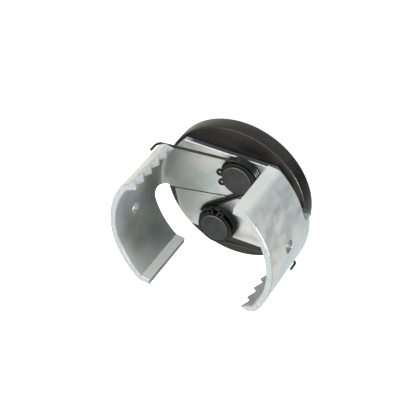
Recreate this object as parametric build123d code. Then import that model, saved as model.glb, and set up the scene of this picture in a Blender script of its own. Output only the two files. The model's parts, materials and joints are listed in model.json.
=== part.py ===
from build123d import *
import os
from math import acos, asin, cos, degrees, radians, sin, sqrt

# Two-jaw oil filter wrench. Millimetres and degrees.
# The origin is the centre of the square drive's mouth. +Z runs along the drive axis, towards the jaws.
# Side "b" is side "a" turned half a turn about the drive axis, apart from the way its circlip faces.

# Drive hub: a hexagon with a square socket, and a stem pressed through the disc
HUB_HEIGHT = 9.0
HEX_ACROSS_FLATS = 22.0
HEX_CORNER_CHAMFER = 1.0
STEM_RADIUS = 8.4
STEM_RECESS = 0.6
SQUARE_SIZE = 9.6
SQUARE_DEPTH = 12.5
SQUARE_LEAD_IN = 0.7
DETENT_DEPTH = 5.3
DETENT_RADIUS = 1.6
DETENT_BITE = 0.8

# Disc
DISC_RADIUS = 35.5
DISC_THICKNESS = 8.1
DISC_CHAMFER = 0.6
DISC_FRONT = HUB_HEIGHT + DISC_THICKNESS

# Pivot pins, each riveted into the disc
PIVOT = Vector(8.24, 14.73)
PIN_RADIUS = 7.0
PIN_HEIGHT = 9.4
PIN_CHAMFER = 0.35
SHANK_RADIUS = 6.0
RIVET_SPREAD = 1.0
GROOVE_RADIUS = 6.7
GROOVE_START = 7.6
GROOVE_WIDTH = 1.1

# Circlips
RING_THICKNESS = 1.0
RING_INNER_RADIUS = 6.72
RING_OUTER_RADIUS = 8.45
RING_ECCENTRICITY = 0.35
LUG_CENTRE_RADIUS = 8.75
LUG_RADIUS = 1.7
LUG_HOLE_RADIUS = 0.85
LUG_HALF_ANGLE = 17.5
GAP_HALF_WIDTH = 0.85
RING_A_GAP_ANGLE = 181.0
RING_B_GAP_ANGLE = 79.0

# Jaw arm: a plate on the disc, bent up into a curved jaw
SHEET = 3.0
EDGE_BREAK = 0.3
RUNNING_GAP = 0.05
BORE_RADIUS = PIN_RADIUS + RUNNING_GAP
HALF_GAP_BETWEEN_ARMS = 0.25
PIVOT_END_X = 29.9
PIVOT_END_SQUARE_Y = 10.9
OUTER_EDGE_CORNER_X = 25.1
OUTER_EDGE_CORNER_Y = 19.7
PLATE_RADIUS = 34.1
OUTER_EDGE_END_ANGLE = 124.3
WEB_START_ANGLE = 144.0
WEB_END_ANGLE = 178.0
WEB_FILLET = 3.6
INNER_EDGE_END_X = -31.5
BEND_INNER_RADIUS = 3.0

# Jaw band, concentric with the drive axis when the jaws are closed. Heights are above the disc's front face.
BAND_INNER_RADIUS = PLATE_RADIUS + BEND_INNER_RADIUS
BAND_OUTER_RADIUS = BAND_INNER_RADIUS + SHEET
BAND_REAR = 9.9
BAND_FRONT = 43.0
HEEL_ANGLE = 137.0
HEEL_BEND_RADIUS = 2.0
FLAP_DIRECTION = 13.0
FLAP_LENGTH = 5.4
FLAP_FULL_THICKNESS_LENGTH = 2.0
TIP_THICKNESS = 0.5
LIP_ANGLE = 216.5
LIP_BEND_RADIUS = 1.0
LIP_DIRECTION = 342.0
LIP_LENGTH = 4.3

# Teeth, along the flap's free edge
TOOTH_PITCH = 6.6
TOOTH_COUNT = 6
TOOTH_DEPTH = 2.7
TOOTH_LONG_SIDE = 4.2

# Handling hole through each jaw
HOLE_RADIUS = 3.0
HOLE_ANGLE = 176.4
HOLE_HEIGHT = 26.0

# Torsion springs, one round each pin
WIRE = 1.25
COIL_RADIUS = 8.7
COIL_PITCH = 1.3
FULL_TURNS = 2
WIRE_CLEARANCE = 0.1
LONG_LEG_DIRECTION = 174.9
HOOK_RADIUS = 41.4
HOOK_BEND_RADIUS = 2.4
HOOK_TOP = 13.0
SHORT_LEG_WRAP = 35.0
POINTS_PER_TURN = 24

# Length of a cutter that has to pass right through a sheet, whichever way it curves
CUTTER_LENGTH = 12.0

HALF_TURN = Rot(0, 0, 180)


def polar(radius, angle):
    """A point in the XY plane, at a distance and a direction from the drive axis."""
    return Vector(radius * cos(radians(angle)), radius * sin(radians(angle)))


def arc(radius, first, last):
    """An arc about the drive axis, from one direction to another."""
    return ThreePointArc(polar(radius, first), polar(radius, (first + last) / 2), polar(radius, last))


def turn(centre, radius, first, last):
    """An arc about any centre."""
    middle = (first + last) / 2
    return ThreePointArc(
        centre + polar(radius, first), centre + polar(radius, middle), centre + polar(radius, last)
    )


def drive_hub():
    """The hexagon, its square socket with a ball detent in each wall, and the stem through the disc."""
    hexagon = extrude(RegularPolygon(HEX_ACROSS_FLATS / 2, 6, major_radius=False), HUB_HEIGHT)
    corner_radius = HEX_ACROSS_FLATS / sqrt(3)
    corner_cone = Cone(
        corner_radius - HEX_CORNER_CHAMFER, corner_radius + HUB_HEIGHT, HUB_HEIGHT + HEX_CORNER_CHAMFER,
        align=(Align.CENTER, Align.CENTER, Align.MIN),
    )
    stem_height = DISC_THICKNESS - STEM_RECESS
    stem = Pos(0, 0, HUB_HEIGHT + stem_height / 2) * Cylinder(STEM_RADIUS, stem_height)
    square = extrude(Rectangle(SQUARE_SIZE, SQUARE_SIZE), SQUARE_DEPTH)
    mouth_size = SQUARE_SIZE + 2 * SQUARE_LEAD_IN
    mouth = extrude(Rectangle(mouth_size, mouth_size), SQUARE_LEAD_IN, taper=45)
    hub = (hexagon & corner_cone) + stem - square - mouth
    detent_length = SQUARE_SIZE + 2 * DETENT_BITE
    for tilt in (Rot(90, 0, 0), Rot(0, 90, 0)):
        hub -= Pos(0, 0, DETENT_DEPTH) * tilt * Cylinder(DETENT_RADIUS, detent_length)
    return hub


def body_disc():
    """The round plate, bored for the hub's stem and for both pins' shanks."""
    middle = HUB_HEIGHT + DISC_THICKNESS / 2
    disc = Pos(0, 0, middle) * Cylinder(DISC_RADIUS, DISC_THICKNESS)
    disc = chamfer(disc.edges().filter_by(GeomType.CIRCLE), DISC_CHAMFER)
    disc -= Pos(0, 0, middle) * Cylinder(STEM_RADIUS, DISC_THICKNESS)
    for sign in (1, -1):
        disc -= Pos(sign * PIVOT.X, sign * PIVOT.Y, middle) * Cylinder(SHANK_RADIUS, DISC_THICKNESS)
        disc -= Pos(sign * PIVOT.X, sign * PIVOT.Y, HUB_HEIGHT) * rivet_cone()
    return disc


def rivet_cone():
    """The countersink at the back of the disc, which the pin's shank is spread into."""
    return Cone(
        SHANK_RADIUS + RIVET_SPREAD, SHANK_RADIUS, RIVET_SPREAD, align=(Align.CENTER, Align.CENTER, Align.MIN)
    )


def pivot_pin():
    """A pin with a circlip groove near its top, and a shank spread into the back of the disc."""
    body = Pos(0, 0, DISC_FRONT + PIN_HEIGHT / 2) * Cylinder(PIN_RADIUS, PIN_HEIGHT)
    body = chamfer(body.edges().filter_by(GeomType.CIRCLE).sort_by(Axis.Z)[-1], PIN_CHAMFER)
    groove_middle = DISC_FRONT + GROOVE_START + GROOVE_WIDTH / 2
    groove = Cylinder(PIN_RADIUS, GROOVE_WIDTH) - Cylinder(GROOVE_RADIUS, GROOVE_WIDTH)
    shank = Pos(0, 0, HUB_HEIGHT + DISC_THICKNESS / 2) * Cylinder(SHANK_RADIUS, DISC_THICKNESS)
    pin = body - Pos(0, 0, groove_middle) * groove + shank + Pos(0, 0, HUB_HEIGHT) * rivet_cone()
    return Pos(PIVOT.X, PIVOT.Y, 0) * pin


def circlip(gap_angle):
    """An external retaining ring whose gap faces along gap_angle."""
    ring = Pos(-RING_ECCENTRICITY, 0) * Circle(RING_OUTER_RADIUS)
    for side in (1, -1):
        lug = polar(LUG_CENTRE_RADIUS, side * LUG_HALF_ANGLE)
        ring += Pos(lug.X, lug.Y) * Circle(LUG_RADIUS)
    ring -= Circle(RING_INNER_RADIUS)
    gap_length = 2 * LUG_CENTRE_RADIUS
    ring -= Pos(gap_length / 2, 0) * Rectangle(gap_length, 2 * GAP_HALF_WIDTH)
    for side in (1, -1):
        lug = polar(LUG_CENTRE_RADIUS, side * LUG_HALF_ANGLE)
        ring -= Pos(lug.X, lug.Y) * Circle(LUG_HOLE_RADIUS)
    height = DISC_FRONT + GROOVE_START + (GROOVE_WIDTH - RING_THICKNESS) / 2
    return Pos(PIVOT.X, PIVOT.Y, height) * Rot(0, 0, gap_angle) * extrude(ring, RING_THICKNESS)


def arm_plate():
    """The flat part of a jaw arm, from its square pivot end to the start of the bend."""
    square_corner = Vector(PIVOT_END_X, PIVOT_END_SQUARE_Y)
    outer_corner = Vector(OUTER_EDGE_CORNER_X, OUTER_EDGE_CORNER_Y)
    corner_middle = (square_corner + outer_corner).normalized() * square_corner.length
    inner_start = Vector(PIVOT_END_X, HALF_GAP_BETWEEN_ARMS)
    inner_end = Vector(INNER_EDGE_END_X, HALF_GAP_BETWEEN_ARMS)
    outline = [
        Line(inner_start, square_corner),
        ThreePointArc(square_corner, corner_middle, outer_corner),
        Line(outer_corner, polar(PLATE_RADIUS, OUTER_EDGE_END_ANGLE)),
        arc(PLATE_RADIUS, OUTER_EDGE_END_ANGLE, WEB_END_ANGLE),
        Line(polar(PLATE_RADIUS, WEB_END_ANGLE), inner_end),
        Line(inner_end, inner_start),
    ]
    plate = extrude(make_face(Wire(outline)), SHEET)
    levels = plate.faces().sort_by(Axis.Z)
    sheared = [edge for edge in levels[0].edges() + levels[-1].edges() if not on_bend_line(edge)]
    plate = chamfer(sheared, EDGE_BREAK)
    return Pos(0, 0, DISC_FRONT + RUNNING_GAP) * plate


def on_bend_line(edge):
    """True for the arc where the flat plate carries on into the bend."""
    middle = edge @ 0.5
    return abs(Vector(middle.X, middle.Y).length - PLATE_RADIUS) < EDGE_BREAK


def arm_web():
    """The bend that turns the plate up into the jaw, over the part of the jaw that is joined to it."""
    bottom = DISC_FRONT + RUNNING_GAP
    centre = Vector(PLATE_RADIUS, bottom + SHEET + BEND_INNER_RADIUS)
    outer = BEND_INNER_RADIUS + SHEET
    top = DISC_FRONT + BAND_REAR
    section = [
        Line((PLATE_RADIUS, bottom), (PLATE_RADIUS, bottom + SHEET)),
        turn(centre, BEND_INNER_RADIUS, -90, 0),
        Line((BAND_INNER_RADIUS, centre.Y), (BAND_INNER_RADIUS, top)),
        Line((BAND_INNER_RADIUS, top), (BAND_OUTER_RADIUS, top)),
        Line((BAND_OUTER_RADIUS, top), (BAND_OUTER_RADIUS, centre.Y)),
        turn(centre, outer, 0, -90),
    ]
    face = Plane.XZ * make_face(Wire(section))
    web = revolve(face, Axis.Z, WEB_END_ANGLE - WEB_START_ANGLE)
    return Rot(0, 0, WEB_START_ANGLE) * web


def heel_centre():
    """The centre of the heel's bend, where the band turns into the flap."""
    return polar(BAND_INNER_RADIUS - HEEL_BEND_RADIUS, HEEL_ANGLE)


def flap_tip():
    """The inner corner of the toothed flap's free edge."""
    start = heel_centre() + polar(HEEL_BEND_RADIUS, FLAP_DIRECTION + 90)
    return start + polar(FLAP_LENGTH, FLAP_DIRECTION)


def jaw_band():
    """The upright jaw: a flap bent in at the heel, the band, and a lip bent in at the far end."""
    heel = heel_centre()
    flap_normal = FLAP_DIRECTION + 90
    heel_outer = HEEL_BEND_RADIUS + SHEET
    flap_inner_start = heel + polar(HEEL_BEND_RADIUS, flap_normal)
    flap_outer_start = heel + polar(heel_outer, flap_normal)
    flap_outer_end = flap_outer_start + polar(FLAP_FULL_THICKNESS_LENGTH, FLAP_DIRECTION)
    tip_inner = flap_tip()
    tip_outer = tip_inner + polar(TIP_THICKNESS, flap_normal)
    lip = polar(BAND_INNER_RADIUS - LIP_BEND_RADIUS, LIP_ANGLE)
    lip_normal = LIP_DIRECTION - 90
    lip_outer = LIP_BEND_RADIUS + SHEET
    lip_inner_start = lip + polar(LIP_BEND_RADIUS, lip_normal)
    lip_outer_start = lip + polar(lip_outer, lip_normal)
    lip_inner_end = lip_inner_start + polar(LIP_LENGTH, LIP_DIRECTION)
    lip_outer_end = lip_outer_start + polar(LIP_LENGTH, LIP_DIRECTION)
    outline = [
        arc(BAND_INNER_RADIUS, HEEL_ANGLE, LIP_ANGLE),
        turn(lip, LIP_BEND_RADIUS, LIP_ANGLE, lip_normal),
        Line(lip_inner_start, lip_inner_end),
        Line(lip_inner_end, lip_outer_end),
        Line(lip_outer_end, lip_outer_start),
        turn(lip, lip_outer, lip_normal, LIP_ANGLE),
        arc(BAND_OUTER_RADIUS, LIP_ANGLE, HEEL_ANGLE),
        turn(heel, heel_outer, HEEL_ANGLE, flap_normal),
        Line(flap_outer_start, flap_outer_end),
        Line(flap_outer_end, tip_outer),
        Line(tip_outer, tip_inner),
        Line(tip_inner, flap_inner_start),
        turn(heel, HEEL_BEND_RADIUS, flap_normal, HEEL_ANGLE),
    ]
    band = extrude(make_face(Wire(outline)), BAND_FRONT - BAND_REAR)
    front = band.faces().sort_by(Axis.Z)[-1].edges()
    band = chamfer([edge for edge in front if not on_flap(edge)], EDGE_BREAK)
    return Pos(0, 0, DISC_FRONT + BAND_REAR) * band


def on_flap(edge):
    """True for an edge of the toothed flap, which keeps its sharp corners."""
    middle = edge @ 0.5
    return (Vector(middle.X, middle.Y) - flap_tip()).length < FLAP_LENGTH


def teeth_gaps():
    """What is cut from the flap's edge: a long slope behind each tip, then a short steep rise to the next."""
    beyond = TIP_THICKNESS
    points = [(-beyond, BAND_FRONT), (0, BAND_FRONT)]
    for tooth in range(TOOTH_COUNT):
        tip = BAND_FRONT - tooth * TOOTH_PITCH
        points.append((TOOTH_DEPTH, tip - TOOTH_LONG_SIDE))
        points.append((0, tip - TOOTH_PITCH))
    last = BAND_FRONT - TOOTH_COUNT * TOOTH_PITCH
    points.append((-beyond, last))
    tip_point = flap_tip() + Vector(0, 0, DISC_FRONT)
    towards_heel = polar(-1, FLAP_DIRECTION)
    edge_plane = Plane(origin=tip_point, x_dir=towards_heel, z_dir=towards_heel.cross(Vector(0, 0, 1)))
    gaps = edge_plane * make_face(Polyline(*points, close=True))
    return extrude(gaps, SHEET, both=True)


def jaw_arm():
    """One arm: plate, web and jaw in one piece of bent sheet, with its bore, handling hole and teeth."""
    arm = arm_plate() + arm_web() + jaw_band()
    rear = DISC_FRONT + BAND_REAR
    for angle in (WEB_START_ANGLE, WEB_END_ANGLE):
        middle = polar((BAND_INNER_RADIUS + BAND_OUTER_RADIUS) / 2, angle) + Vector(0, 0, rear)
        corner = arm.edges().sort_by_distance(middle)[0]
        arm = fillet(corner, WEB_FILLET)
    arm -= Pos(PIVOT.X, PIVOT.Y, DISC_FRONT) * Cylinder(BORE_RADIUS, CUTTER_LENGTH)
    hole_centre = polar(BAND_INNER_RADIUS, HOLE_ANGLE)
    outward = polar(1, HOLE_ANGLE)
    hole_plane = Plane(origin=(hole_centre.X, hole_centre.Y, DISC_FRONT + HOLE_HEIGHT), z_dir=outward)
    arm -= hole_plane * Cylinder(HOLE_RADIUS, CUTTER_LENGTH)
    return arm - teeth_gaps()


def spring_path():
    """The centre line of a torsion spring, from the end of its short leg to the end of its hook."""
    up = Vector(0, 0, 1)
    bottom = up * (DISC_FRONT + RUNNING_GAP + SHEET + (WIRE_CLEARANCE + WIRE) / 2)
    neighbour_radius = COIL_RADIUS + WIRE + WIRE_CLEARANCE
    pin_direction = degrees(acos(PIVOT.X / PIVOT.length))
    leg_slant = degrees(asin((COIL_RADIUS + neighbour_radius) / (2 * PIVOT.length)))
    short_leg_direction = pin_direction - leg_slant
    first_angle = short_leg_direction - 90
    last_angle = LONG_LEG_DIRECTION - 90
    coil_angle = last_angle - first_angle + 360 * FULL_TURNS
    top = bottom + up * (COIL_PITCH * coil_angle / 360)

    wrap_end = short_leg_direction + 90
    wrap = turn(bottom - PIVOT, neighbour_radius, wrap_end + SHORT_LEG_WRAP, wrap_end)
    short_leg = Line(wrap @ 1, PIVOT + polar(COIL_RADIUS, first_angle) + bottom)

    steps = round(coil_angle / 360 * POINTS_PER_TURN)
    coil_points = []
    for step in range(steps + 1):
        share = step / steps
        around = polar(COIL_RADIUS, first_angle + coil_angle * share)
        coil_points.append(PIVOT + around + bottom + (top - bottom) * share)
    coil = Spline(*coil_points)

    along = polar(1, LONG_LEG_DIRECTION)
    leg_start = PIVOT + polar(COIL_RADIUS, last_angle)
    nearest = -leg_start.dot(along)
    miss = (leg_start + along * nearest).length
    reach = nearest + sqrt(HOOK_RADIUS**2 - miss**2)
    long_leg = Line(coil @ 1, leg_start + top + along * (reach - HOOK_BEND_RADIUS))
    bend_centre = (long_leg @ 1) + up * HOOK_BEND_RADIUS
    bend_middle = bend_centre + (along - up) * (HOOK_BEND_RADIUS / sqrt(2))
    bend = ThreePointArc(long_leg @ 1, bend_middle, bend_centre + along * HOOK_BEND_RADIUS)
    hook = Line(bend @ 1, leg_start + along * reach + up * (DISC_FRONT + HOOK_TOP))
    return Wire([wrap, short_leg, coil, long_leg, bend, hook])


def torsion_spring():
    path = spring_path()
    section = Plane(origin=path @ 0, z_dir=path % 0) * Circle(WIRE / 2)
    return sweep(section, path)


def write(name, shape):
    export_step(shape, os.path.join("parts", name + ".step"))


os.makedirs("parts", exist_ok=True)
arm_a = jaw_arm()
pin_a = pivot_pin()
spring_a = torsion_spring()
write("drive_hub", drive_hub())
write("body_disc", body_disc())
write("jaw_arm_a", arm_a)
write("jaw_arm_b", HALF_TURN * arm_a)
write("pivot_pin_a", pin_a)
write("pivot_pin_b", HALF_TURN * pin_a)
write("torsion_spring_a", spring_a)
write("torsion_spring_b", HALF_TURN * spring_a)
write("circlip_a", circlip(RING_A_GAP_ANGLE))
write("circlip_b", HALF_TURN * circlip(RING_B_GAP_ANGLE - 180))
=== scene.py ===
import json
import math

import bmesh
import bpy
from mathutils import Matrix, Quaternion, Vector


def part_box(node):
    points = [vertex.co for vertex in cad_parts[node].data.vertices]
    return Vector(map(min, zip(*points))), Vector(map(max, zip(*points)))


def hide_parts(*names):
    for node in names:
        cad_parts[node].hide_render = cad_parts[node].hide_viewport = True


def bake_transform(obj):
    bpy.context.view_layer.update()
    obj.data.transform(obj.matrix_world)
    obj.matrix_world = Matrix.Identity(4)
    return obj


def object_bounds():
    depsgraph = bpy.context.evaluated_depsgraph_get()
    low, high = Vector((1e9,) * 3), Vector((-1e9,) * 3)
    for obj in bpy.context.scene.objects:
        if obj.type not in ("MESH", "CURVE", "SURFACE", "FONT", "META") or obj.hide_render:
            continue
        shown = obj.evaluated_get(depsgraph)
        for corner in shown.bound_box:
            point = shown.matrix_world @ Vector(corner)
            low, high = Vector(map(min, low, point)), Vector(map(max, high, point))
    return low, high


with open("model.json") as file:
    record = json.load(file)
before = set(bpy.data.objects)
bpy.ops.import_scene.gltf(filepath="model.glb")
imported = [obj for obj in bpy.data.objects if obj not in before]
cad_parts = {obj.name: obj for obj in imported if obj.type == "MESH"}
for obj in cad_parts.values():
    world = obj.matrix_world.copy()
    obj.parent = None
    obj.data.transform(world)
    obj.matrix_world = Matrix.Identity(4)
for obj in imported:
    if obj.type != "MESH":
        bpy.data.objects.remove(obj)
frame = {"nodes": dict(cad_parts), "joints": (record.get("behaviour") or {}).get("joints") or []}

cad_low, cad_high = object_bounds()

# Metres and degrees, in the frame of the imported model. +Z runs from the drive towards the jaws.
MM = 0.001

JOINTS = {joint["child"]: joint for joint in frame["joints"]}
PIVOTS = {side: Vector(JOINTS["arm_" + side]["pos_m"]) for side in "ab"}
DISC_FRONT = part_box("body_disc")[1].z
JAW_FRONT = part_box("jaw_arm_a")[1].z

# Places on the jaw arms that look different from the rest of the sheet
JAW_REAR = DISC_FRONT + 9.9 * MM
PLATE_TOP = DISC_FRONT + 3.05 * MM
BEND_TOP = PLATE_TOP + 4.0 * MM
HOLE_MIDDLE = (0.0, 0.0, DISC_FRONT + 26.0 * MM)
HOLE_DIRECTION = 176.4
HOLE_RADIUS = 3.0 * MM
TOOTH_FACE_DIRECTION = 66.7
LIP_END_DIRECTION = 342.0
# X times Y, where a corner of the jaws starts to count and where it counts in full
CORNER_START = 430 * MM**2
CORNER_FULL = 470 * MM**2

# Springs
WIRE = 1.25 * MM
COIL_RADIUS = 8.7 * MM
WIRE_CLEARANCE = 0.1 * MM
COIL_PITCH = 1.3 * MM
FULL_TURNS = 2
# The part turn after the full ones, from the short leg's side to the long leg's
LONG_LEG_DIRECTION = 174.9
HOOK_RADIUS = 41.4 * MM
HOOK_BEND_RADIUS = 2.4 * MM
SHORT_LEG_WRAP = 35.0
WIRE_SIDES = 20
STEP_LENGTH = 0.5 * MM
COIL_STEP_ANGLE = 6.0
WRAP_STEPS = 12
HOOK_STEPS = 10
# How far the wire's ends bulge, in wire widths, and the share of the full radius left there
END_DOME = ((0.08, 0.85), (0.12, 0.55))

# Camera
CAMERA_AIM = Vector((3.5, 12.0, 45.0)) * MM
CAMERA_DISTANCE = 544.0 * MM
CAMERA_AZIMUTH = 50.46
CAMERA_ELEVATION = 42.62
CAMERA_ROLL = -140.25
CAMERA_LENS = 108.2

# What the surfaces see around the object: a dim room with broad pale panels.
# Each panel is (azimuth, elevation, cosine where it ends, cosine where it is full, colour).
ROOM = (0.085, 0.09, 0.093, 1.0)
PANELS = [
    (-130, 46, 0.45, 0.93, (0.95, 0.94, 0.90, 1.0)),
    (152, -40, 0.40, 0.92, (1.22, 1.14, 1.00, 1.0)),
    (68, -43, 0.70, 0.93, (0.92, 0.95, 0.92, 1.0)),
    (60, 43, 0.85, 0.96, (1.35, 1.45, 1.45, 1.0)),
    (-8, 45, 0.93, 0.985, (1.15, 1.10, 1.00, 1.0)),
    (-100, -40, 0.75, 0.95, (0.80, 0.85, 0.87, 1.0)),
]


# ---------------------------------------------------------------- small helpers


def direction(azimuth, elevation=0.0):
    """A unit vector at an azimuth from +X towards +Y, and an elevation above the floor."""
    a = math.radians(azimuth)
    e = math.radians(elevation)
    return Vector((math.cos(a) * math.cos(e), math.sin(a) * math.cos(e), math.sin(e)))


class Nodes:
    """A node tree, with short calls for the nodes that the materials and the world share."""

    def __init__(self, tree, coordinates):
        self.tree = tree
        self.point = tree.nodes.new("ShaderNodeTexCoord").outputs[coordinates]

    def link(self, source, target):
        self.tree.links.new(source, target)

    def put(self, value, socket):
        """Feeds a socket from another node's output, or with a plain value."""
        if isinstance(value, bpy.types.NodeSocket):
            self.link(value, socket)
        else:
            socket.default_value = value

    def math(self, operation, first, second=0.0):
        node = self.tree.nodes.new("ShaderNodeMath")
        node.operation = operation
        self.put(first, node.inputs[0])
        self.put(second, node.inputs[1])
        return node.outputs[0]

    def vector(self, operation, first, second=(0.0, 0.0, 0.0), out=0):
        node = self.tree.nodes.new("ShaderNodeVectorMath")
        node.operation = operation
        self.put(first, node.inputs[0])
        self.put(second, node.inputs[1])
        return node.outputs[out]

    def part(self, vector, axis):
        node = self.tree.nodes.new("ShaderNodeSeparateXYZ")
        self.put(vector, node.inputs[0])
        return node.outputs[axis]

    def join(self, x, y, z):
        node = self.tree.nodes.new("ShaderNodeCombineXYZ")
        self.put(x, node.inputs[0])
        self.put(y, node.inputs[1])
        self.put(z, node.inputs[2])
        return node.outputs[0]

    def scaled(self, scale):
        """The point, stretched for a noise: each number is how many features fit in a metre."""
        return self.vector("MULTIPLY", self.point, scale)

    def height(self):
        return self.part(self.point, "Z")

    def both(self, first, second):
        """Two masks or shares multiplied together."""
        return self.math("MULTIPLY", first, second)

    def noise(self, vector, detail=3.0, roughness=0.55, distortion=0.0):
        """Noise with features about one unit across in the vector's own units."""
        node = self.tree.nodes.new("ShaderNodeTexNoise")
        node.inputs["Scale"].default_value = 1.0
        node.inputs["Detail"].default_value = detail
        node.inputs["Roughness"].default_value = roughness
        node.inputs["Distortion"].default_value = distortion
        self.put(vector, node.inputs["Vector"])
        return node.outputs[0]

    def fit(self, value, low, high, to_low=0.0, to_high=1.0):
        """Maps low..high to to_low..to_high along an S curve, held at both ends."""
        node = self.tree.nodes.new("ShaderNodeMapRange")
        node.interpolation_type = "SMOOTHSTEP"
        self.put(value, node.inputs["Value"])
        self.put(low, node.inputs["From Min"])
        self.put(high, node.inputs["From Max"])
        self.put(to_low, node.inputs["To Min"])
        self.put(to_high, node.inputs["To Max"])
        return node.outputs["Result"]

    def blend(self, share, first, second):
        """A colour between two colours."""
        node = self.tree.nodes.new("ShaderNodeMix")
        node.data_type = "RGBA"
        self.put(share, node.inputs["Factor"])
        self.put(first, node.inputs[6])
        self.put(second, node.inputs[7])
        return node.outputs[2]

    def tint(self, mask, share, colour, tint):
        """A colour with a share of a tint laid over it where the mask is 1."""
        return self.blend(self.both(mask, share), colour, tint)

    def between(self, share, first, second):
        """A number between two numbers."""
        node = self.tree.nodes.new("ShaderNodeMix")
        node.data_type = "FLOAT"
        self.put(share, node.inputs["Factor"])
        self.put(first, node.inputs[2])
        self.put(second, node.inputs[3])
        return node.outputs[0]


class Graph(Nodes):
    """A material's node tree: a principled shader, textured by the point's place in the shared frame."""

    def __init__(self, name):
        self.material = bpy.data.materials.new(name)
        self.material.use_nodes = True
        tree = self.material.node_tree
        tree.nodes.clear()
        super().__init__(tree, "Object")
        output = tree.nodes.new("ShaderNodeOutputMaterial")
        self.shader = tree.nodes.new("ShaderNodeBsdfPrincipled")
        self.link(self.shader.outputs[0], output.inputs["Surface"])
        self.normal = tree.nodes.new("ShaderNodeNewGeometry").outputs["Normal"]

    def set(self, **values):
        """Sets the shader's inputs, by name with underscores for spaces."""
        for name, value in values.items():
            self.put(value, self.shader.inputs[name.replace("_", " ")])

    def edges(self, radius):
        """1 along sharp edges, 0 on open faces."""
        node = self.tree.nodes.new("ShaderNodeBevel")
        node.samples = 4
        node.inputs["Radius"].default_value = radius
        turned = self.vector("DOT_PRODUCT", node.outputs[0], self.normal, out="Value")
        return self.fit(self.math("SUBTRACT", 1.0, turned), 0.01, 0.12)

    def soft_normal(self, radius):
        """The surface normal with sharp edges rounded off."""
        node = self.tree.nodes.new("ShaderNodeBevel")
        node.samples = 6
        node.inputs["Radius"].default_value = radius
        return node.outputs[0]

    def slope(self):
        """0 on upright faces, 1 on level ones."""
        return self.math("ABSOLUTE", self.part(self.normal, "Z"))

    def level_faces(self):
        """1 on nearly level faces, 0 on steep ones."""
        return self.fit(self.slope(), 0.6, 0.85)

    def chamfers(self):
        """1 on faces that lean halfway between upright and level, 0 on upright and level ones."""
        slope = self.slope()
        return self.both(self.fit(slope, 0.25, 0.45), self.fit(slope, 0.95, 0.85))

    def facing(self, azimuth, low, high):
        """1 on upright faces that look along an azimuth or straight away from it."""
        aligned = self.vector("DOT_PRODUCT", self.normal, tuple(direction(azimuth)), out="Value")
        return self.fit(self.math("ABSOLUTE", aligned), low, high)

    def crevices(self, reach):
        """1 in tight inside corners and right beside other pieces, 0 in the open."""
        node = self.tree.nodes.new("ShaderNodeAmbientOcclusion")
        node.samples = 6
        node.inputs["Distance"].default_value = reach
        return self.fit(node.outputs["AO"], 0.80, 0.30)

    def bump(self, height, distance, after=None):
        """The normal over a relief of the given depth, on top of the normal in after."""
        node = self.tree.nodes.new("ShaderNodeBump")
        node.inputs["Distance"].default_value = distance
        self.put(height, node.inputs["Height"])
        if after is not None:
            self.link(after, node.inputs["Normal"])
        return node.outputs[0]

    def ring_tangent(self):
        """The direction round the piece's own vertical axis, for turned faces."""
        node = self.tree.nodes.new("ShaderNodeTangent")
        node.direction_type = "RADIAL"
        node.axis = "Z"
        return node.outputs[0]


def grey(level, warm=0.0):
    """A near-neutral colour: warm above 0 leans to brown, below 0 to blue."""
    return (level * (1 + warm), level, level * (1 - warm), 1.0)


# ---------------------------------------------------------------- materials

ZINC_BLUE_GREY = (0.58, 0.645, 0.65, 1.0)
ZINC_LIGHT_GREY = (0.73, 0.735, 0.71, 1.0)
ZINC_CREAM = (0.80, 0.78, 0.71, 1.0)
ZINC_DULL = (0.50, 0.57, 0.56, 1.0)
ZINC_ROLLING_LINE = (0.86, 0.86, 0.84, 1.0)
ZINC_RUB_AND_HIGHLIGHT = (0.92, 0.93, 0.92, 1.0)
PLATE_SIDE_PAINTED_REFLECTION = (0.20, 0.23, 0.30, 1.0)
BEND_PAINTED_HIGHLIGHT = (0.88, 0.85, 0.77, 1.0)
CREVICE_PAINTED_SHADE = (0.17, 0.20, 0.21, 1.0)
HOLE_WALL_PAINTED_SHADE = (0.20, 0.24, 0.28, 1.0)
CUT_DARK = (0.55, 0.61, 0.66, 1.0)
CUT_LIGHT = (0.74, 0.79, 0.83, 1.0)
JAW_INSIDE_PAINTED_REFLECTION = (0.20, 0.26, 0.26, 1.0)
LIP_REAR_PAINTED_HIGHLIGHT = (0.92, 1.0, 1.0, 1.0)
LIP_FRONT_PAINTED_HIGHLIGHT = (0.94, 0.94, 0.86, 1.0)
LIP_END_PAINTED_REFLECTION = (0.10, 0.12, 0.14, 1.0)


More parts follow.
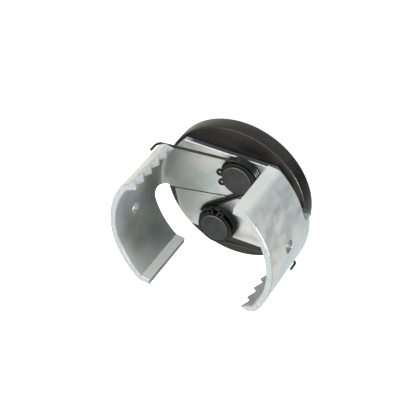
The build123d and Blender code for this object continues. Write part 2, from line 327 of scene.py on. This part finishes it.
def zinc_sheet():
    """Dull zinc plating on rolled sheet, tinted by place: painted shade in the seam, crevices and hole,
    painted reflection on the plate's sides, the jaw's inside and the lip's end, painted highlight on the
    bend and the lip, lighter sheared edges, and rubbed edges with a painted highlight.
    """
    g = Graph("zinc_plated_sheet")
    patches = g.noise(g.scaled((230, 230, 200)), detail=3.0, roughness=0.6)
    lines = rolling_lines(g)
    shear = g.noise(g.scaled((900, 900, 250)), detail=2.0)
    bend = bend_mask(g)
    cut = cut_mask(g)
    lip_face = lip_mask(g, LIP_END_DIRECTION + 90)
    inner_lip = g.both(lip_face, g.fit(outward(g), -10 * MM, -20 * MM))

    colour = plating_colour(g, patches, lines)
    colour = plate_colour(g, bend, colour)
    # Painted shade on the wall of the handling hole.
    colour = g.tint(hole_mask(g), 0.5, colour, HOLE_WALL_PAINTED_SHADE)
    colour = jaw_colour(g, lip_face, inner_lip, colour)
    cut_colour = g.blend(g.fit(shear, 0.35, 0.65), CUT_DARK, CUT_LIGHT)
    colour = g.tint(cut, 0.85, colour, cut_colour)
    # Rubbed edges: partly real wear, partly a painted highlight along the sheet's edges.
    edge_rub_break = g.fit(g.noise(g.scaled((500, 500, 500))), 0.35, 0.6)
    rub = g.both(g.edges(0.5 * MM), edge_rub_break)
    colour = g.tint(rub, 0.75, colour, ZINC_RUB_AND_HIGHLIGHT)

    roughness = g.fit(patches, 0.3, 0.7, 0.36, 0.48)
    roughness = g.between(cut, roughness, 0.55)
    roughness = g.between(rub, roughness, 0.25)
    metallic = g.between(cut, g.between(bend, 0.72, 0.45), 0.2)
    metallic = g.between(inner_lip, metallic, 0.40)
    grain = g.noise(g.scaled((2600, 2600, 2600)), detail=2.0)
    surface = g.bump(lines, 0.012 * MM, after=g.soft_normal(0.40 * MM))
    surface = g.bump(grain, 0.010 * MM, after=surface)
    surface = g.bump(g.both(shear, cut), 0.10 * MM, after=surface)
    g.set(Base_Color=colour, Metallic=metallic, Roughness=roughness, Normal=surface)
    return g.material


def rolling_lines(g):
    """Streaks left by rolling, along the plate and round the jaw."""
    along_plate = g.noise(g.scaled((60, 1500, 400)), detail=3.0)
    round_jaw = g.noise(g.scaled((60, 60, 1500)), detail=3.0)
    return g.between(g.level_faces(), round_jaw, along_plate)


def plating_colour(g, patches, lines):
    """Bluish, grey and cream clouds, with dull patches and faint rolling lines."""
    clouds = g.noise(g.scaled((70, 70, 50)), detail=3.0)
    colour = g.blend(g.fit(clouds, 0.36, 0.56), ZINC_BLUE_GREY, ZINC_LIGHT_GREY)
    colour = g.blend(g.fit(clouds, 0.56, 0.72, 0.0, 0.7), colour, ZINC_CREAM)
    colour = g.blend(g.fit(patches, 0.45, 0.30, 0.0, 0.45), colour, ZINC_DULL)
    return g.blend(g.fit(lines, 0.60, 0.72, 0.0, 0.18), colour, ZINC_ROLLING_LINE)


def bend_mask(g):
    """1 on the bend between the plate and the jaw."""
    slope = g.slope()
    sloping = g.both(g.fit(slope, 0.05, 0.25), g.fit(slope, 0.98, 0.88))
    return g.both(sloping, g.fit(g.height(), BEND_TOP, BEND_TOP - 0.5 * MM))


def hole_mask(g):
    """1 on the wall of the handling hole."""
    from_hole = g.vector("SUBTRACT", g.point, HOLE_MIDDLE)
    across = g.vector("CROSS_PRODUCT", from_hole, tuple(direction(HOLE_DIRECTION)))
    return g.fit(g.vector("LENGTH", across, out="Value"), HOLE_RADIUS * 1.06, HOLE_RADIUS * 1.03)


def quarter(g):
    """X times Y: well above 0 at both lips, well below 0 at both rows of teeth."""
    return g.math("MULTIPLY", g.part(g.point, "X"), g.part(g.point, "Y"))


def cut_mask(g):
    """1 on the sheared faces: the jaw's front edge and the long sides of the teeth."""
    at_front = g.fit(g.height(), JAW_FRONT - 0.05 * MM, JAW_FRONT - 0.02 * MM)
    front_edge = g.both(at_front, g.level_faces())
    by_teeth = g.fit(quarter(g), -CORNER_START, -CORNER_FULL)
    tooth_face = g.both(g.facing(TOOTH_FACE_DIRECTION, 0.96, 0.985), by_teeth)
    return g.math("MAXIMUM", front_edge, tooth_face)


def lip_mask(g, azimuth):
    """1 on the faces of a lip that look along an azimuth or straight away from it."""
    return g.both(g.facing(azimuth, 0.97, 0.99), g.fit(quarter(g), CORNER_START, CORNER_FULL))


def outward(g):
    """How far the surface looks away from the drive axis: below 0 on the inside of a jaw."""
    from_axis = g.vector("MULTIPLY", g.point, (1, 1, 0))
    return g.vector("DOT_PRODUCT", g.normal, from_axis, out="Value")


def plate_colour(g, bend, colour):
    """Paints a dark reflection on the plate's upright sides, shade in the seam between the arms and in
    the crevices, and a highlight on the bend.
    """
    # Painted dark reflection of the disc on the plate's upright sides.
    below_top = g.fit(g.height(), PLATE_TOP + 0.02 * MM, PLATE_TOP)
    plate_side = g.both(g.fit(g.slope(), 0.15, 0.05), below_top)
    colour = g.tint(plate_side, 0.9, colour, PLATE_SIDE_PAINTED_REFLECTION)
    # Painted shade in and beside the gap between the two arms.
    painted_seam_shade = g.fit(g.math("ABSOLUTE", g.part(g.point, "Y")), 0.50 * MM, 0.40 * MM)
    colour = g.blend(g.both(painted_seam_shade, g.fit(g.height(), BEND_TOP, PLATE_TOP)), colour, grey(0.03))
    # Painted highlight along the bend.
    colour = g.tint(bend, 0.8, colour, BEND_PAINTED_HIGHLIGHT)
    # Painted shade in inside corners and beside other pieces.
    return g.tint(g.crevices(5.0 * MM), 0.75, colour, CREVICE_PAINTED_SHADE)


def jaw_colour(g, lip_face, inner_lip, colour):
    """Paints a dark reflection on the jaw's inside towards the plate, a highlight on the lip and a dark
    reflection on its sheared end.
    """
    from_rear = g.math("SUBTRACT", g.height(), JAW_REAR)
    # Painted dark reflection of the disc on the jaw's inside, strongest near the plate.
    inside = g.both(g.fit(outward(g), -20 * MM, -30 * MM), g.fit(from_rear, 22 * MM, 2 * MM))
    colour = g.tint(inside, 0.60, colour, JAW_INSIDE_PAINTED_REFLECTION)
    # Painted highlight on the lip, strongest on its inner face.
    lip_painted_highlight = g.blend(g.fit(from_rear, 8 * MM, 16 * MM), LIP_REAR_PAINTED_HIGHLIGHT, LIP_FRONT_PAINTED_HIGHLIGHT)
    lip_share = g.both(lip_face, g.between(inner_lip, 0.30, 0.90))
    colour = g.blend(lip_share, colour, lip_painted_highlight)
    # Painted dark reflection on the lip's sheared end.
    return g.tint(lip_mask(g, LIP_END_DIRECTION), 0.85, colour, LIP_END_PAINTED_REFLECTION)


def black_oxide(name, level, roughness, turned_lines=True):
    """Black-oxided steel: fine turning lines, faint smudges, edges rubbed back to brown-grey with a
    painted highlight, and painted highlights on the chamfers.
    """
    g = Graph(name)
    smudges = g.noise(g.scaled((120, 120, 120)), detail=4.0, distortion=0.4)
    grain = g.noise(g.scaled((3200, 3200, 3200)), detail=2.0)
    radius = g.vector("LENGTH", g.vector("MULTIPLY", g.point, (1, 1, 0)), out="Value")
    rings = g.noise(g.join(g.math("MULTIPLY", radius, 2600), 0.0, 0.0), detail=3.0)
    bands = g.noise(g.join(0.0, 0.0, g.math("MULTIPLY", g.height(), 2600)), detail=3.0)
    turned = g.between(g.level_faces(), bands, rings)

    colour = g.blend(g.fit(smudges, 0.35, 0.65), grey(level * 0.8, 0.03), grey(level * 1.25, 0.06))
    colour = g.blend(g.fit(turned, 0.4, 0.7, 0.0, 0.3), colour, grey(level * 1.9, 0.10))
    # Rubbed edges: partly real wear, partly a painted highlight.
    rub = g.both(g.edges(0.45 * MM), g.fit(g.noise(g.scaled((420, 420, 420))), 0.38, 0.62))
    colour = g.tint(rub, 0.4, colour, grey(level * 4.0, 0.08))
    # Painted highlight on the chamfers.
    colour = g.tint(g.chamfers(), 0.35, colour, grey(level * 3.5, 0.06))

    rough = g.fit(smudges, 0.3, 0.7, roughness - 0.05, roughness + 0.07)
    surface = g.bump(grain, 0.012 * MM)
    if turned_lines:
        surface = g.bump(turned, 0.014 * MM, after=surface)
        g.set(Anisotropic=0.2, Tangent=g.ring_tangent())
    g.set(Base_Color=colour, Metallic=0.75, Roughness=rough, Normal=surface)
    return g.material


def pin_steel(side):
    """Dark grey oxide with a turned top face, whose rings catch the light as a faint cone, with painted
    shade on the sides and painted highlights on the edges and chamfer ring.
    """
    g = Graph("dark_pin_steel_" + side)
    from_axis = g.vector("SUBTRACT", g.point, tuple(PIVOTS[side]))
    radius = g.vector("LENGTH", g.vector("MULTIPLY", from_axis, (1, 1, 0)), out="Value")
    rings = g.noise(g.join(g.math("MULTIPLY", radius, 3000), 0.0, 0.0), detail=3.0)
    smudges = g.noise(g.scaled((320, 320, 320)), detail=4.0)
    grain = g.noise(g.scaled((4000, 4000, 4000)), detail=2.0)
    colour = g.blend(g.fit(smudges, 0.35, 0.65), grey(0.044, -0.03), grey(0.068, -0.03))
    colour = g.blend(g.fit(rings, 0.45, 0.7, 0.0, 0.5), colour, grey(0.075))
    # Painted shade: the pin's upright side is darker than its top face.
    top_face = g.fit(g.part(g.normal, "Z"), 0.5, 0.65)
    colour = g.blend(top_face, grey(0.014), colour)
    # Rubbed edges: partly real wear, partly a painted highlight.
    rub = g.both(g.edges(0.4 * MM), g.fit(g.noise(g.scaled((600, 600, 600))), 0.35, 0.6))
    colour = g.tint(rub, 0.7, colour, grey(0.50))
    # Painted highlight on the chamfer ring.
    colour = g.tint(g.chamfers(), 0.7, colour, grey(0.22))
    surface = g.bump(rings, 0.02 * MM)
    surface = g.bump(grain, 0.015 * MM, after=surface)
    g.set(
        Base_Color=colour,
        Metallic=0.8,
        Roughness=g.fit(smudges, 0.3, 0.7, 0.40, 0.50),
        Anisotropic=0.6,
        Tangent=g.ring_tangent(),
        Normal=surface,
    )
    return g.material


def glossy_black(name, level, roughness, sheen):
    """Oiled black spring steel: deep black with a sharp sheen, drawing marks and rubbed high spots."""
    g = Graph(name)
    streaks = g.noise(g.scaled((700, 700, 1800)), detail=3.0)
    smudges = g.noise(g.scaled((260, 260, 260)), detail=3.0)
    colour = g.blend(g.fit(smudges, 0.35, 0.65), grey(level * 0.7), grey(level * 1.5))
    rub = g.both(g.edges(0.3 * MM), g.fit(g.noise(g.scaled((800, 800, 800))), 0.4, 0.6))
    colour = g.tint(rub, 0.5, colour, grey(level * 8))
    surface = g.bump(streaks, 0.01 * MM)
    g.set(
        Base_Color=colour,
        Metallic=0.15,
        Specular_IOR_Level=sheen,
        Roughness=g.fit(smudges, 0.3, 0.7, roughness - 0.06, roughness + 0.10),
        Coat_Weight=sheen / 2,
        Coat_Roughness=0.12,
        Normal=surface,
    )
    return g.material


# ---------------------------------------------------------------- CAD nodes that stay


def dress(node, material, edge_width=0.0):
    """Gives a CAD node its finish, and softens its edges with modifiers that leave its own mesh alone."""
    obj = frame["nodes"][node]
    obj.data.materials.clear()
    obj.data.materials.append(material)
    if not edge_width:
        return
    weld = obj.modifiers.new("weld", "WELD")
    weld.merge_threshold = 0.001 * MM
    bevel = obj.modifiers.new("soft_edges", "BEVEL")
    bevel.width = edge_width
    bevel.segments = 2
    bevel.limit_method = "ANGLE"
    bevel.angle_limit = math.radians(32)
    bevel.harden_normals = True


# ---------------------------------------------------------------- springs


def spring_points(node, pivot, start_direction):
    """The wire's centre line for side a, from the end of its short leg to the end of its hook."""
    low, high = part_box(node)
    bottom = low.z + WIRE / 2
    reach = math.hypot(pivot.x, pivot.y)
    neighbour = COIL_RADIUS + WIRE + WIRE_CLEARANCE
    slant = math.degrees(math.asin((COIL_RADIUS + neighbour) / (2 * reach)))
    short_leg = start_direction - slant
    first = short_leg - 90
    last = LONG_LEG_DIRECTION - 90
    sweep = last - first + 360 * FULL_TURNS
    top = bottom + COIL_PITCH * sweep / 360
    centre = Vector((pivot.x, pivot.y, 0))

    points = []
    for step in range(WRAP_STEPS + 1):
        angle = short_leg + 90 + SHORT_LEG_WRAP * (1 - step / WRAP_STEPS)
        points.append(-centre + direction(angle) * neighbour + Vector((0, 0, bottom)))
    leg_end = centre + direction(first) * COIL_RADIUS + Vector((0, 0, bottom))
    points += straight(points[-1], leg_end)
    coil_steps = int(sweep / COIL_STEP_ANGLE)
    for step in range(1, coil_steps + 1):
        share = step / coil_steps
        level = bottom + (top - bottom) * share
        points.append(centre + direction(first + sweep * share) * COIL_RADIUS + Vector((0, 0, level)))
    along = direction(LONG_LEG_DIRECTION)
    leg_start = centre + direction(last) * COIL_RADIUS
    nearest = -leg_start.dot(along)
    miss = (leg_start + along * nearest).length
    length = nearest + math.sqrt(HOOK_RADIUS**2 - miss**2)
    bend_start = leg_start + along * (length - HOOK_BEND_RADIUS) + Vector((0, 0, top))
    points += straight(points[-1], bend_start)
    for step in range(1, HOOK_STEPS + 1):
        angle = math.radians(90 * step / HOOK_STEPS)
        out = along * math.sin(angle) * HOOK_BEND_RADIUS
        up = Vector((0, 0, (1 - math.cos(angle)) * HOOK_BEND_RADIUS))
        points.append(bend_start + out + up)
    hook_end = Vector((points[-1].x, points[-1].y, high.z))
    points += straight(points[-1], hook_end)
    return points


def straight(start, end):
    """Points from just after start up to end, a step apart."""
    count = max(1, round((end - start).length / STEP_LENGTH))
    return [start.lerp(end, step / count) for step in range(1, count + 1)]


def wire_mesh(name, points):
    """A round wire along points, with its frame carried along the path and slightly domed ends."""
    mesh = bpy.data.meshes.new(name)
    build = bmesh.new()
    radius = WIRE / 2
    tangents = []
    for i in range(len(points)):
        before = points[max(i - 1, 0)]
        after = points[min(i + 1, len(points) - 1)]
        tangents.append((after - before).normalized())
    side = tangents[0].orthogonal().normalized()
    rings = []
    previous = tangents[0]
    for i, tangent in enumerate(tangents):
        side = previous.rotation_difference(tangent) @ side
        side = (side - tangent * side.dot(tangent)).normalized()
        previous = tangent
        other = tangent.cross(side)
        stations = [(0.0, 1.0)]
        if i == 0:
            stations = [(-shift, share) for shift, share in reversed(END_DOME)] + stations
        if i == len(points) - 1:
            stations += END_DOME
        for shift, share in stations:
            ring = []
            for k in range(WIRE_SIDES):
                turn = 2 * math.pi * k / WIRE_SIDES
                offset = (side * math.cos(turn) + other * math.sin(turn)) * radius * share
                ring.append(build.verts.new(points[i] + tangent * shift * WIRE + offset))
            rings.append(ring)
    for first, second in zip(rings, rings[1:]):
        for k in range(WIRE_SIDES):
            n = (k + 1) % WIRE_SIDES
            build.faces.new((first[k], first[n], second[n], second[k]))
    build.faces.new(list(reversed(rings[0])))
    build.faces.new(rings[-1])
    bmesh.ops.recalc_face_normals(build, faces=build.faces)
    build.to_mesh(mesh)
    build.free()
    for polygon in mesh.polygons:
        polygon.use_smooth = len(polygon.vertices) == 4
    obj = bpy.data.objects.new(name, mesh)
    bpy.context.scene.collection.objects.link(obj)
    return obj


def spring(side, material):
    """A torsion spring's wire, built in place of its CAD node: the short leg lies on the plate and the
    hook reaches the arm.
    """
    node = "torsion_spring_" + side
    pivot = PIVOTS["a"]
    pin_direction = math.degrees(math.atan2(pivot.y, pivot.x))
    points = spring_points(node, pivot, pin_direction)
    if side == "b":
        points = [Vector((-p.x, -p.y, p.z)) for p in points]
    obj = wire_mesh("spring_wire_" + side, points)
    obj.data.materials.append(material)
    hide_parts(node)
    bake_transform(obj)


# ---------------------------------------------------------------- the object

sheet = zinc_sheet()
plate_black = black_oxide("black_oxide_plate", 0.032, 0.38)
hub_black = black_oxide("black_oxide_hub", 0.032, 0.42, turned_lines=False)
wire_black = glossy_black("black_spring_wire", 0.007, 0.30, 0.45)
clip_black = glossy_black("black_circlip_steel", 0.006, 0.34, 0.22)

dress("body_disc", plate_black, 0.18 * MM)
dress("drive_hub", hub_black, 0.20 * MM)
for side in "ab":
    dress("jaw_arm_" + side, sheet)
    dress("pivot_pin_" + side, pin_steel(side), 0.12 * MM)
    dress("circlip_" + side, clip_black, 0.12 * MM)
    spring(side, wire_black)


# ---------------------------------------------------------------- studio


def floor():
    """A wide pale floor at the hub's rear face."""
    half = 3.0
    level = cad_low.z - 0.05 * MM
    mesh = bpy.data.meshes.new("floor")
    corners = [(-half, -half, level), (half, -half, level), (half, half, level), (-half, half, level)]
    mesh.from_pydata(corners, [], [(0, 1, 2, 3)])
    obj = bpy.data.objects.new("floor", mesh)
    bpy.context.scene.collection.objects.link(obj)
    g = Graph("pale_floor")
    speckle = g.noise(g.scaled((300, 300, 1)), detail=2.0)
    colour = g.blend(speckle, (0.86, 0.86, 0.86, 1.0), (0.90, 0.90, 0.90, 1.0))
    g.set(Base_Color=colour, Roughness=0.8, Emission_Color=(1.0, 1.0, 1.0, 1.0), Emission_Strength=0.85)
    mesh.materials.append(g.material)
    obj.visible_glossy = False
    obj.visible_diffuse = False


def softbox(name, azimuth, elevation, distance, size, power, colour):
    """A square area light that points at the middle of the object."""
    middle = (cad_low + cad_high) / 2
    place = middle + direction(azimuth, elevation) * distance
    data = bpy.data.lights.new(name, "AREA")
    data.shape = "SQUARE"
    data.size = size
    data.energy = power
    data.color = colour
    obj = bpy.data.objects.new(name, data)
    obj.location = place
    obj.rotation_mode = "QUATERNION"
    obj.rotation_quaternion = (middle - place).to_track_quat("-Z", "Y")
    bpy.context.scene.collection.objects.link(obj)


def surroundings():
    """A dim room with broad pale panels for the metal to reflect."""
    world = bpy.data.worlds.new("studio")
    bpy.context.scene.world = world
    world.use_nodes = True
    tree = world.node_tree
    tree.nodes.clear()
    output = tree.nodes.new("ShaderNodeOutputWorld")
    background = tree.nodes.new("ShaderNodeBackground")
    g = Nodes(tree, "Generated")
    colour = ROOM
    for azimuth, elevation, ends, full, shade in PANELS:
        aligned = g.vector("DOT_PRODUCT", g.point, tuple(direction(azimuth, elevation)), out="Value")
        colour = g.blend(g.fit(aligned, ends, full), colour, shade)
    tree.links.new(colour, background.inputs["Color"])
    background.inputs["Strength"].default_value = 1.0
    tree.links.new(background.outputs[0], output.inputs["Surface"])


def camera():
    """The camera, rolled so that the jaws hang down and to the left."""
    data = bpy.data.cameras.new("camera")
    data.lens = CAMERA_LENS
    data.sensor_width = 36.0
    data.clip_start = 0.01
    obj = bpy.data.objects.new("camera", data)
    back = direction(CAMERA_AZIMUTH, CAMERA_ELEVATION)
    obj.location = CAMERA_AIM + back * CAMERA_DISTANCE
    obj.rotation_mode = "QUATERNION"
    roll = Quaternion((0, 0, 1), math.radians(CAMERA_ROLL))
    obj.rotation_quaternion = (-back).to_track_quat("-Z", "Y") @ roll
    bpy.context.scene.collection.objects.link(obj)
    bpy.context.scene.camera = obj


floor()
surroundings()
softbox("key", 115, 48, 0.9, 0.36, 2.6, (1.0, 0.98, 0.95))
softbox("low_side", -5, 0, 0.9, 0.30, 13.5, (1.0, 1.0, 0.98))
softbox("rear", 230, 40, 1.0, 0.8, 0.7, (1.0, 1.0, 1.0))
camera()
bpy.context.scene.view_settings.view_transform = "Standard"
